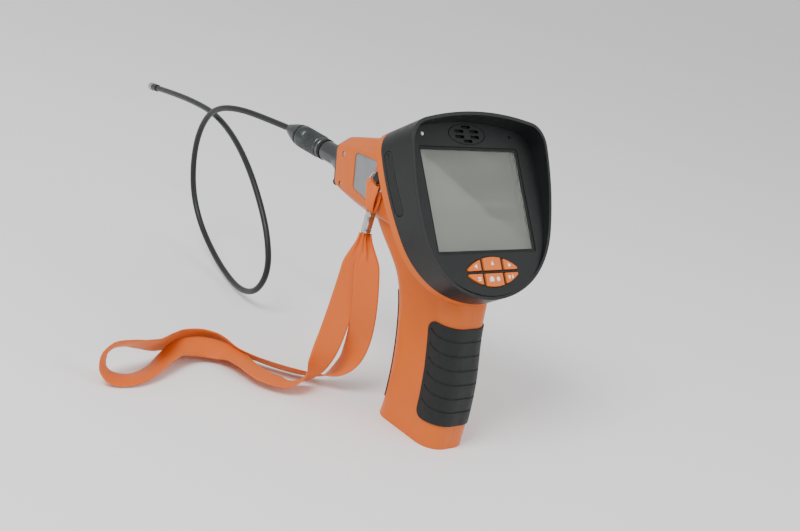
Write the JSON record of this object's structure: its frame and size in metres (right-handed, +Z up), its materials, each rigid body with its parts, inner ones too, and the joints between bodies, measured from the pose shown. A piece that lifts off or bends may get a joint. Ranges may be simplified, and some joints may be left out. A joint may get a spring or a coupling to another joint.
{
  "type": "inspection camera",
  "caption": "Handheld inspection camera with hooded screen, pistol grip, six keys, a gooseneck probe on a knurled coupling and a ribbon wrist strap.",
  "frame": {"origin": "middle of the pistol grip, where a hand holds it", "axes": "+Z up along the grip, +Y forward along the barrel towards the probe, +X to the user's right"},
  "size_m": [0.2189, 0.3957, 0.1853],
  "materials": {
    "orange_shell": "fine spark-eroded texture, slight sheen",
    "black_shell": "satin moulded plastic",
    "bezel": "satin moulded plastic",
    "grey_plate": "satin printed plate, left blank",
    "steel": "zinc plated",
    "key_orange": "soft moulded key with white icons",
    "window": "hard-coated clear window",
    "gasket": "foam gasket",
    "lcd": "grey unlit display",
    "speaker": "speaker case",
    "led": "clear moulded lens",
    "board": "solder mask",
    "door_rubber": "matt rubber",
    "grip_rubber": "matt overmoulded rubber",
    "cell": "shrink sleeve",
    "nose_grey": "satin dark grey",
    "insert": "socket insert",
    "nut_black": "knurled, black anodised",
    "probe_skin": "ribbed black gooseneck sleeve",
    "tip_metal": "turned",
    "lens": "coated lens",
    "chrome_clip": "plated",
    "ribbon": "woven satin ribbon"
  },
  "bodies": {
    "housing": {"left_shell": "orange_shell", "right_shell": "orange_shell", "side_plate_left": "grey_plate", "side_plate_right": "grey_plate", "body_screws": "steel", "nose_screws": "steel", "head_shell": "black_shell", "bezel_panel": "bezel", "display_window": "window", "display_gasket": "gasket", "lcd_module": "lcd", "speaker": "speaker", "microphone": "steel", "indicator_led": "led", "main_board": "board", "board_screws": "steel", "key_board": "board", "key_domes": "steel", "card_socket": "steel", "usb_socket": "steel", "video_jack": "bezel", "rear_grip": "grip_rubber", "front_grip": "grip_rubber", "battery_cell": "cell", "battery_holder": "bezel", "nose_cone": "nose_grey", "probe_socket": "nose_grey", "socket_insert": "insert", "seal_ring": "door_rubber", "probe_plug": "nut_black", "probe_sleeve": "nut_black", "nose_plug": "door_rubber", "gooseneck": "probe_skin", "probe_collar": "probe_skin", "camera_head": "tip_metal", "probe_lens": "lens", "probe_leds": "led", "image_sensor": "board", "strap_lug": "black_shell", "strap_clip": "chrome_clip", "strap_loop": "ribbon", "strap_crimp": "chrome_clip", "strap": "ribbon"},
    "key_upper_left_body": {"key_upper_left": "key_orange"},
    "key_upper_middle_body": {"key_upper_middle": "key_orange"},
    "key_upper_right_body": {"key_upper_right": "key_orange"},
    "key_lower_left_body": {"key_lower_left": "key_orange"},
    "key_lower_middle_body": {"key_lower_middle": "key_orange"},
    "key_lower_right_body": {"key_lower_right": "key_orange"},
    "port_door_body": {"port_door": "door_rubber"},
    "coupling_nut_body": {"coupling_nut": "nut_black"}
  },
  "joints": [
    {"name": "key_upper_left_press", "type": "slide", "parent": "housing", "child": "key_upper_left_body", "axis": [0, 0.8018, -0.5976], "range_m": [0, 0.0007], "stiffness_N_per_m": 600},
    {"name": "key_upper_middle_press", "type": "slide", "parent": "housing", "child": "key_upper_middle_body", "axis": [0, 0.8018, -0.5976], "range_m": [0, 0.0007], "stiffness_N_per_m": 600},
    {"name": "key_upper_right_press", "type": "slide", "parent": "housing", "child": "key_upper_right_body", "axis": [0, 0.8018, -0.5976], "range_m": [0, 0.0007], "stiffness_N_per_m": 600},
    {"name": "key_lower_left_press", "type": "slide", "parent": "housing", "child": "key_lower_left_body", "axis": [0, 0.8018, -0.5976], "range_m": [0, 0.0007], "stiffness_N_per_m": 600},
    {"name": "key_lower_middle_press", "type": "slide", "parent": "housing", "child": "key_lower_middle_body", "axis": [0, 0.8018, -0.5976], "range_m": [0, 0.0007], "stiffness_N_per_m": 600},
    {"name": "key_lower_right_press", "type": "slide", "parent": "housing", "child": "key_lower_right_body", "axis": [0, 0.8018, -0.5976], "range_m": [0, 0.0007], "stiffness_N_per_m": 600},
    {"name": "port_door_hinge", "type": "hinge", "parent": "housing", "child": "port_door_body", "pos_m": [-0.0552, 0.00283, 0.07916], "axis": [0, -0.8018, 0.5976], "range_deg": [0, 100]},
    {"name": "coupling_nut_spin", "type": "hinge", "parent": "housing", "child": "coupling_nut_body", "pos_m": [0, 0.145, 0.07], "axis": [0, 1, 0], "range_deg": [0, 720]}
  ]
}
